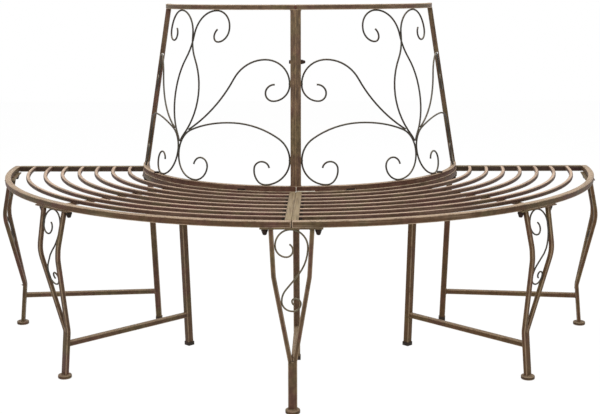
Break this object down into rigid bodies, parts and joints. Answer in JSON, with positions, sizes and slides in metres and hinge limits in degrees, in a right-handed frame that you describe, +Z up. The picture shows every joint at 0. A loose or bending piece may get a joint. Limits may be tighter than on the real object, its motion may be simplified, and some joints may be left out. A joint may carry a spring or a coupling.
{
  "type": "tree bench",
  "caption": "Half-round metal garden bench that stands against a tree trunk, with a slatted ring seat, a leaning scrollwork back and splayed legs.",
  "frame": {"origin": "middle of the bench's footprint on the floor, halfway across its width and its depth", "axes": "+X along the bench's width, +Y from the round front of the seat towards the tree, +Z up"},
  "size_m": [1.6274, 0.8142, 0.881],
  "materials": {
    "frame_paint": "bronze-brown antique paint, satin",
    "slat_paint": "bronze-brown antique paint, satin, worn on the edges",
    "scroll_iron": "dark bronze paint, satin",
    "black_nuts": "near-black, satin",
    "bolts": "dark, satin",
    "feet": "dark, matte"
  },
  "bodies": {
    "root": {"back_end_upright_left": "frame_paint", "back_end_upright_right": "frame_paint", "back_fan_scrolls": "scroll_iron", "back_foot_rail_left": "frame_paint", "back_foot_rail_right": "frame_paint", "back_seam_bolt": "bolts", "back_seam_upright_left": "frame_paint", "back_seam_upright_right": "frame_paint", "back_side_scrolls": "scroll_iron", "back_top_rail_left": "frame_paint", "back_top_rail_right": "frame_paint", "back_top_scrolls": "scroll_iron", "cap_nuts": "black_nuts", "foot_glides": "feet", "front_leg_front": "frame_paint", "front_leg_left_end": "frame_paint", "front_leg_left_front": "frame_paint", "front_leg_right_end": "frame_paint", "front_leg_right_front": "frame_paint", "hold_down_bolts": "bolts", "hold_down_nuts": "bolts", "inner_leg_caps": "feet", "inner_leg_front": "frame_paint", "inner_leg_left_end": "frame_paint", "inner_leg_left_front": "frame_paint", "inner_leg_plates": "frame_paint", "inner_leg_right_end": "frame_paint", "inner_leg_right_front": "frame_paint", "leg_plates": "frame_paint", "leg_scrolls": "scroll_iron", "rim_studs": "bolts", "seat_end_bar_left": "frame_paint", "seat_end_bar_right": "frame_paint", "seat_inner_rim_left": "frame_paint", "seat_inner_rim_right": "frame_paint", "seat_outer_rim_left": "frame_paint", "seat_outer_rim_right": "frame_paint", "seat_seam_bar_left": "frame_paint", "seat_seam_bar_right": "frame_paint", "seat_support_bar_left": "frame_paint", "seat_support_bar_right": "frame_paint", "slat_1_left": "slat_paint", "slat_1_right": "slat_paint", "slat_2_left": "slat_paint", "slat_2_right": "slat_paint", "slat_3_left": "slat_paint", "slat_3_right": "slat_paint", "slat_4_left": "slat_paint", "slat_4_right": "slat_paint", "slat_5_left": "slat_paint", "slat_5_right": "slat_paint", "slat_6_left": "slat_paint", "slat_6_right": "slat_paint", "slat_7_left": "slat_paint", "slat_7_right": "slat_paint", "stretcher_front": "frame_paint", "stretcher_left_end": "frame_paint", "stretcher_left_front": "frame_paint", "stretcher_right_end": "frame_paint", "stretcher_right_front": "frame_paint"}
  },
  "joints": []
}
